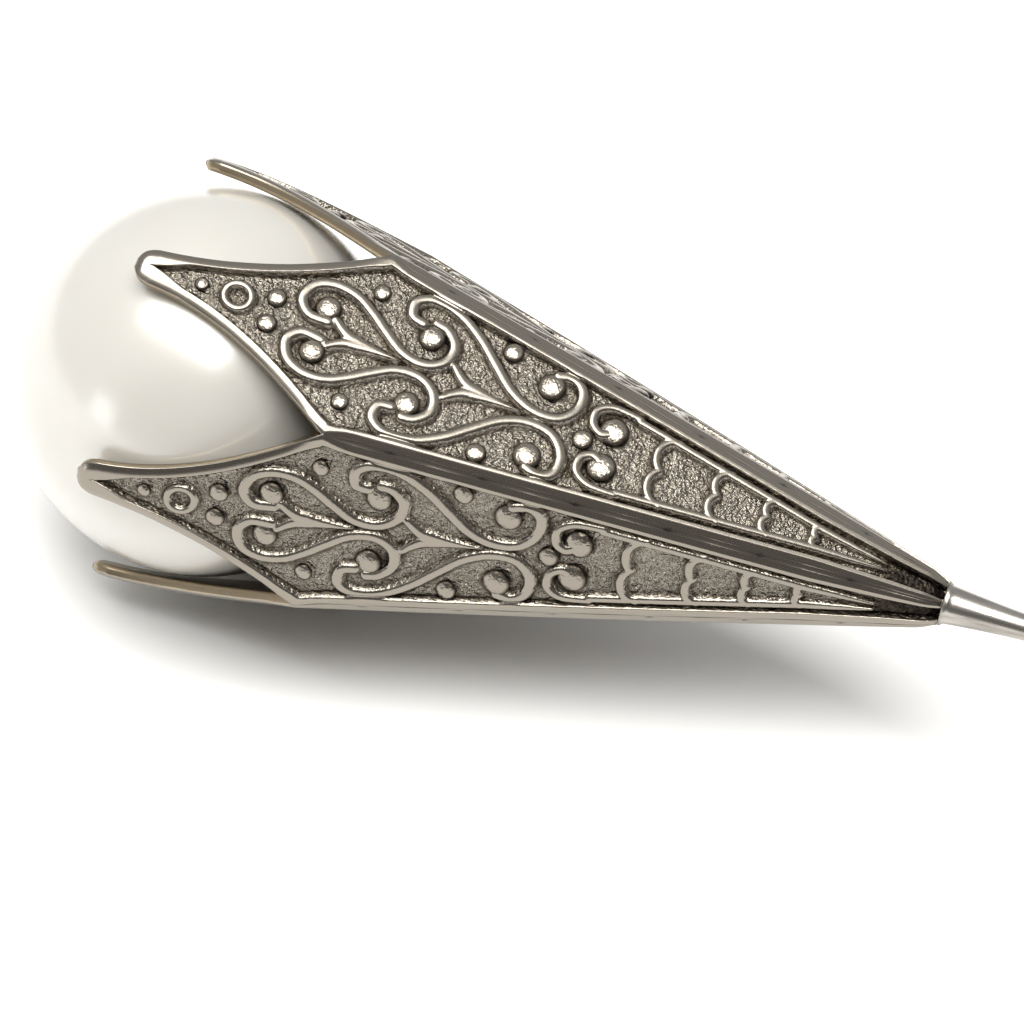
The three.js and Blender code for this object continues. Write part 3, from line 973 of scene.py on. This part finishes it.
mouth_angle = math.asin((SHANK_R + BORE_GAP) / PEARL_R)
pearl_profile = [(-PEARL_U + PEARL_R * math.cos(a), PEARL_R * math.sin(a))
                 for a in np.linspace(math.pi, mouth_angle, PEARL_STEPS)]
pearl_profile[0] = (pearl_profile[0][0], 0.0)
hole_end = -PEARL_U + PEARL_R - PEG_DEPTH - HOLE_SPARE
pearl_profile += [(hole_end, SHANK_R + BORE_GAP), (hole_end, 0.0)]
pearl = turned("lacquered_pearl", pearl_profile, PEARL)
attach(pearl, "pin")
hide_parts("pearl")
print("pearl faces", len(pearl.data.polygons))

# %% [markdown]
# ## The wire
# The wire swells into a neck where it leaves the calyx, and is ground to a point at its far end.
# A curve with a bevel could taper too, but one profile holds the peg, collar, neck and point exactly.

# %% Turn the wire
NECK_R = 0.82
NECK_LENGTH = 4.4
NECK_POWER = 1.6
POINT_LENGTH = 14
POINT_TIP_R = 0.06
POINT_POWER = 1.5
PIN_LENGTH = 200
FIT_GAP = 0.12
COLLAR_GAP = 0.01
COLLAR_R = 0.95
PEG_CHAMFER = 0.05
TAPER_STEPS = 24
TAPER_START = 0.02  # where the neck's curve is taken up, past the collar
POINT_X = PIN_LENGTH - PEARL_U - PEARL_R

peg_end = -PEARL_U + PEARL_R - PEG_DEPTH
wire_profile = [(peg_end, 0.0), (peg_end, SHANK_R - PEG_CHAMFER), (peg_end + PEG_CHAMFER, SHANK_R)]
wire_profile += [(COLLAR_GAP, SHANK_R), (COLLAR_GAP, COLLAR_R)]
wire_profile += [(FIT_GAP + NECK_LENGTH * t, SHANK_R + (NECK_R - SHANK_R) * (1 - t) ** NECK_POWER)
                 for t in np.linspace(TAPER_START, 1, TAPER_STEPS)]
wire_profile += [(POINT_X - POINT_LENGTH * (1 - t),
                  POINT_TIP_R + (SHANK_R - POINT_TIP_R) * (1 - t**POINT_POWER))
                 for t in np.linspace(0, 1, TAPER_STEPS)]
wire_profile += [(POINT_X, 0.0)]
wire = turned("drawn_wire", wire_profile, STEEL, steps=WIRE_STEPS)
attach(wire, "pin")
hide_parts("shank")
print("wire from", round(peg_end, 1), "to", POINT_X, "mm")

# %% [markdown]
# ## The point guard
# The guard is a drawn tube closed at one end, with a crimped ring at its mouth. Rounded corners and
# two rolled grooves are the marks of how such tubes are made. A Bevel modifier would round every
# edge alike, so the rounds and grooves are put into the profiles, only where a tool leaves them.

# %% Sizes of the guard, in millimetres
GUARD_R = 1.8
GUARD_WALL = 0.35
GUARD_LENGTH = 14
GUARD_END = 0.8
GUARD_OVER_POINT = 1.2
RING_R = 2.2
RING_LENGTH = 1.8
RING_PLATE = 0.5
EDGE_ROUND = 0.3
RING_ROUND = 0.15
ROLLED_AT = (3.4, 4.2)  # from the mouth
ROLLED_DEPTH = 0.07
ROLLED_HALF = 0.22
GUARD_FILM = 0.08
RING_FILM = 0.12
guard_tip = POINT_X + GUARD_OVER_POINT + GUARD_END
guard_mouth = guard_tip - GUARD_LENGTH
print("guard's mouth at", round(guard_mouth, 2), "mm, its end at", round(guard_tip, 2))


# %% Turn the barrel
def rounded(x, radius, bend, start, end, steps=8):
    """A quarter arc that rounds an outer corner; angles are in degrees from the +x direction."""
    return [(x + bend * math.cos(math.radians(a)), radius + bend * math.sin(math.radians(a)))
            for a in np.linspace(start, end, steps)]


def rolled_groove(at, radius, steps=9):
    """A shallow groove, as a cosine dip in the profile."""
    return [(at + ROLLED_HALF * t, radius - ROLLED_DEPTH * math.cos(math.pi * t / 2) ** 2)
            for t in np.linspace(-1, 1, steps)]


inside = GUARD_R - GUARD_WALL
barrel_profile = [(guard_tip - GUARD_END, 0.0), (guard_tip - GUARD_END, inside), (guard_mouth, inside),
                  (guard_mouth, GUARD_R)]
for at in ROLLED_AT:
    barrel_profile += rolled_groove(guard_mouth + at, GUARD_R)
barrel_profile += rounded(guard_tip - EDGE_ROUND, GUARD_R - EDGE_ROUND, EDGE_ROUND, 90, 0)
barrel_profile += [(guard_tip, 0.0)]
barrel = turned("drawn_guard", barrel_profile, SILVER)
set_marks(barrel, patina=GUARD_FILM)
print("barrel faces", len(barrel.data.polygons))

# %% Turn the ring
ring_bore = SHANK_R + 2 * FIT_GAP
skirt = GUARD_R + BORE_GAP
face = guard_mouth - BORE_GAP - RING_PLATE
ring_profile = [(face, ring_bore)]
ring_profile += rounded(face + RING_ROUND, RING_R - RING_ROUND, RING_ROUND, 180, 90)
ring_profile += rounded(face + RING_LENGTH - RING_ROUND, RING_R - RING_ROUND, RING_ROUND, 90, 0)
ring_profile += [(face + RING_LENGTH, skirt), (guard_mouth - BORE_GAP, skirt)]
ring_profile += [(guard_mouth - BORE_GAP, ring_bore)]
ring = turned("crimped_ring", ring_profile, SILVER, closed=True)
set_marks(ring, patina=RING_FILM)
for piece, node in ((barrel, "guard_barrel"), (ring, "guard_ring")):
    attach(piece, "guard")
    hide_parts(node)
print("guard from", round(face, 2), "to", round(guard_tip, 2), "mm along the pin")

# %% [markdown]
# ## Pieces that stay as packed
# The cup, the core and the guard's sleeve are hidden. Each could be turned again with finer steps,
# but nobody would see it, and their solids already have the right shape. So they keep their solids
# and only take a finish.

# %% Finish the hidden pieces
HIDDEN = {"pearl_cup": STEEL, "calyx_bush": STEEL, "guard_liner": NYLON}
for node, material in HIDDEN.items():
    data = frame["nodes"][node].data
    data.materials.clear()
    data.materials.append(material)
print("finished", list(HIDDEN))

# %% [markdown]
# ## The floor
# The pin lies on a plain pale surface. The floor is a single sheet, because nothing of it is seen but
# its colour, its shadow and what the metal mirrors of it. A photographer's curved backdrop would do
# the same, and isn't needed when the camera looks down.

# %% Set the floor
FLOOR_HALF = 3.0


def pale_floor():
    material, tree, shader = new_material("pale_floor")
    colour = ramp(tree, noise(tree, 3, 2), [(0.3, (0.93, 0.93, 0.925)), (0.7, (0.95, 0.95, 0.945))])
    tree.links.new(colour, shader.inputs["Base Color"])
    shader.inputs["Roughness"].default_value = 0.9
    shader.inputs["Specular IOR Level"].default_value = 0.1
    mesh = bpy.data.meshes.new("floor")
    corners = [(x * FLOOR_HALF, y * FLOOR_HALF, 0) for x, y in ((-1, -1), (1, -1), (1, 1), (-1, 1))]
    mesh.from_pydata(corners, [], [(0, 1, 2, 3)])
    mesh.materials.append(material)
    floor = bpy.data.objects.new("floor", mesh)
    bpy.context.scene.collection.objects.link(floor)
    return floor


pale_floor()
print("floor", 2 * FLOOR_HALF, "m across")

# %% [markdown]
# ## The light
# Polished metal and lacquer show their surroundings, so the lights are most of the look. Many small
# lamps would leave many hard spots. One large soft panel overhead gives the pearl its broad highlight
# and whitens the floor, and a small weak lamp, low on the left in front, gives the second, smaller
# one. The room is bright behind, above and to the left, and darkens towards the front and the right,
# which puts the dark tones into the petals and the shaded side of the pearl.

# %% Set the lights
def area_light(name, offset, width, depth, watts, colour=(1, 1, 1)):
    """A rectangular light that looks at the calyx from an offset in metres."""
    light = bpy.data.lights.new(name, "AREA")
    light.shape = "RECTANGLE"
    light.size, light.size_y = width, depth
    light.energy = watts
    light.color = colour
    lamp = bpy.data.objects.new(name, light)
    lamp.location = HEAD + Vector(offset)
    lamp.rotation_euler = (-Vector(offset)).to_track_quat("-Z", "Y").to_euler()
    bpy.context.scene.collection.objects.link(lamp)


LIT_U = 18
HEAD = BLUNT - AXIS * LIT_U * MM
area_light("overhead", (-0.04, -0.11, 0.7), 0.74, 0.52, 7.5, (1.0, 0.985, 0.955))
area_light("low_lamp", (-0.34, -0.37, 0.04), 0.12, 0.12, 0.12)

# %% Set the room
ROOM_TILT = {"Y": 0.9, "Z": 0.6, "X": -0.6}  # which way the room gets brighter
ROOM_DARK = (0.36, (0.30, 0.29, 0.28))
ROOM_BRIGHT = (0.56, (0.9, 0.9, 0.9))
ROOM_STRENGTH = 0.62

world = bpy.data.worlds.new("soft_room")
bpy.context.scene.world = world
world.use_nodes = True
tree = world.node_tree
background = tree.nodes["Background"]
coords = tree.nodes.new("ShaderNodeTexCoord")
split = tree.nodes.new("ShaderNodeSeparateXYZ")
tree.links.new(coords.outputs["Generated"], split.inputs["Vector"])
behind, above, left = (maths(tree, "MULTIPLY", split.outputs[way], share) for way, share in ROOM_TILT.items())
towards_light = maths(tree, "ADD", maths(tree, "ADD", behind, above), left)
room = ramp(tree, maths(tree, "MULTIPLY_ADD", towards_light, 0.5, 0.5), [ROOM_DARK, ROOM_BRIGHT])
tree.links.new(room, background.inputs["Color"])
background.inputs["Strength"].default_value = ROOM_STRENGTH
print("room strength", ROOM_STRENGTH)

# %% [markdown]
# ## The camera
# The head is seen from above, close to, with the wire running out of the picture on the right. A
# camera that tracks the pin would be simpler, but its roll couldn't be chosen. So its place, its
# direction and its roll are given, and a long lens keeps the head nearly free of perspective.

# %% Set the camera
CAMERA_AT = (-45.20, -143.25, 152.40)  # millimetres
CAMERA_AZIMUTH = 13.52  # degrees, as the other two
CAMERA_ELEVATION = 44.83
CAMERA_ROLL = 5.77
LENS_MM = 179.0
SENSOR_MM = 36
NEAREST_SEEN = 0.01


def turned_camera():
    """A camera looking along the given azimuth and elevation, rolled about its own view."""
    azimuth, elevation, roll = (math.radians(a) for a in (CAMERA_AZIMUTH, CAMERA_ELEVATION, CAMERA_ROLL))
    back = Vector((math.sin(azimuth) * math.cos(elevation), -math.cos(azimuth) * math.cos(elevation),
                   math.sin(elevation)))
    right = Vector((0, 0, 1)).cross(back).normalized()
    up = back.cross(right)
    rolled_right = right * math.cos(roll) + up * math.sin(roll)
    rolled_up = back.cross(rolled_right)
    data = bpy.data.cameras.new("camera")
    data.lens = LENS_MM
    data.sensor_width = SENSOR_MM
    data.clip_start = NEAREST_SEEN
    camera = bpy.data.objects.new("camera", data)
    camera.matrix_world = Matrix((
        (rolled_right.x, rolled_up.x, back.x, CAMERA_AT[0] * MM),
        (rolled_right.y, rolled_up.y, back.y, CAMERA_AT[1] * MM),
        (rolled_right.z, rolled_up.z, back.z, CAMERA_AT[2] * MM),
        (0, 0, 0, 1)))
    bpy.context.scene.collection.objects.link(camera)
    return camera


bpy.context.scene.camera = turned_camera()
bpy.context.scene.view_settings.view_transform = "Standard"
print("camera lens", LENS_MM, "mm")
